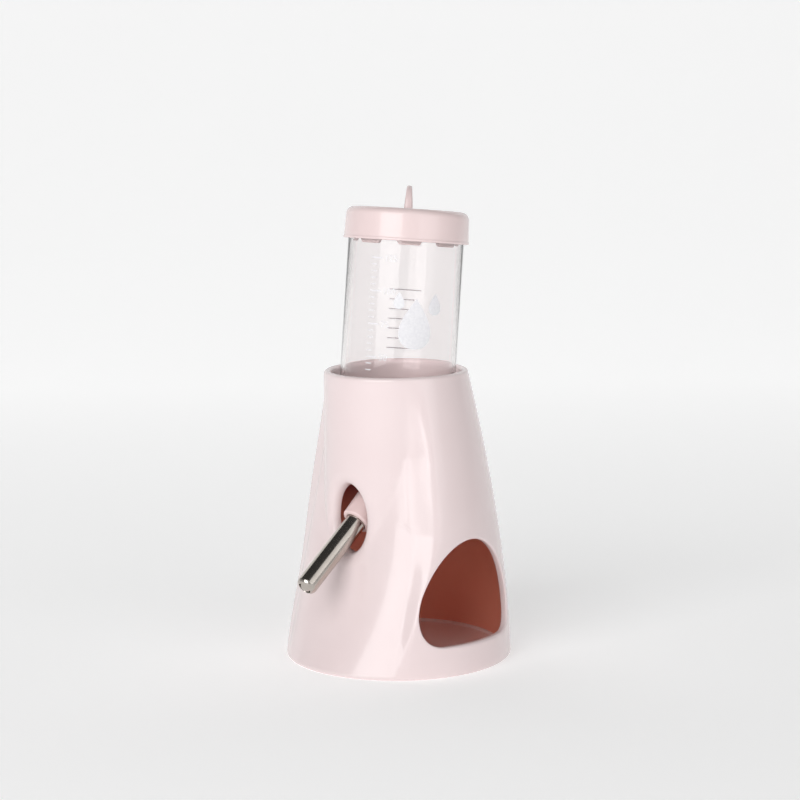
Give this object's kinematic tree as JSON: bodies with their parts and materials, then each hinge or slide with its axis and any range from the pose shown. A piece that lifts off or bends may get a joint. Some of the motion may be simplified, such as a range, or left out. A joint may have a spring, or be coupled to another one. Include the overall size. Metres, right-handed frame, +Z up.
{
  "type": "small animal water bottle on a hideout stand",
  "caption": "Clear screw-capped water bottle leaning in a pink bell-shaped stand with a doorway, with an angled steel ball-valve drinking spout through an oval port.",
  "frame": {"origin": "centre of the foot, on the ground", "axes": "+Z up, the spout points along -Y, the doorway faces +X"},
  "size_m": [0.1, 0.1083, 0.2069],
  "materials": {
    "pink_plastic": "glossy moulded pale pink",
    "clear_plastic": "clear glossy moulded plastic",
    "polished_steel": "polished stainless steel",
    "pink_silicone": "soft satin silicone"
  },
  "bodies": {
    "stand": {"stand_shell": "pink_plastic"},
    "tray": {"floor_tray": "pink_plastic"},
    "nozzle": {"nozzle_collar": "pink_plastic", "spout_tube": "polished_steel", "spout_seal": "pink_silicone", "ball_stop": "polished_steel"},
    "lick_ball": {"tip_ball": "polished_steel"},
    "second_ball": {"upper_ball": "polished_steel"},
    "washer": {"collar_washer": "pink_silicone"},
    "bottle": {"bottle_tube": "clear_plastic"},
    "gasket": {"cap_gasket": "pink_silicone"},
    "cap": {"bottle_cap": "pink_plastic", "hanging_loop": "pink_plastic"}
  },
  "joints": [
    {"name": "bottle_swing_out", "type": "hinge", "parent": "stand", "child": "nozzle", "pos_m": [0, -0.095, 0.119], "axis": [1, 0, 0], "range_deg": [0, 75]},
    {"name": "tray_drop", "type": "slide", "parent": "stand", "child": "tray", "axis": [0, 0, -1], "range_m": [0, 0.012]},
    {"name": "spout_ball_press", "type": "slide", "parent": "nozzle", "child": "lick_ball", "axis": [0, 0.7891, 0.6143], "range_m": [0, 0.002]},
    {"name": "upper_ball_roll", "type": "slide", "parent": "nozzle", "child": "second_ball", "axis": [0, 0.7891, 0.6143], "range_m": [0, 0.002]},
    {"name": "bottle_rise", "type": "slide", "parent": "nozzle", "child": "washer", "axis": [0, 0.1045, 0.9945], "range_m": [0, 0.007]},
    {"name": "bottle_unscrew", "type": "hinge", "parent": "washer", "child": "bottle", "pos_m": [0, -0.00126, 0.09995], "axis": [0, 0.1045, 0.9945], "range_deg": [0, 640]},
    {"name": "cap_rise", "type": "slide", "parent": "bottle", "child": "gasket", "axis": [0, 0.1045, 0.9945], "range_m": [0, 0.012]},
    {"name": "cap_unscrew", "type": "hinge", "parent": "gasket", "child": "cap", "pos_m": [0, 0.00857, 0.19343], "axis": [0, 0.1045, 0.9945], "range_deg": [0, 1090]}
  ],
  "couplings": [
    {"joint": "upper_ball_roll", "follows": "spout_ball_press", "ratio": 1},
    {"joint": "bottle_unscrew", "follows": "bottle_rise", "rad_per_m": 1570.8},
    {"joint": "cap_unscrew", "follows": "cap_rise", "rad_per_m": 1570.8}
  ]
}
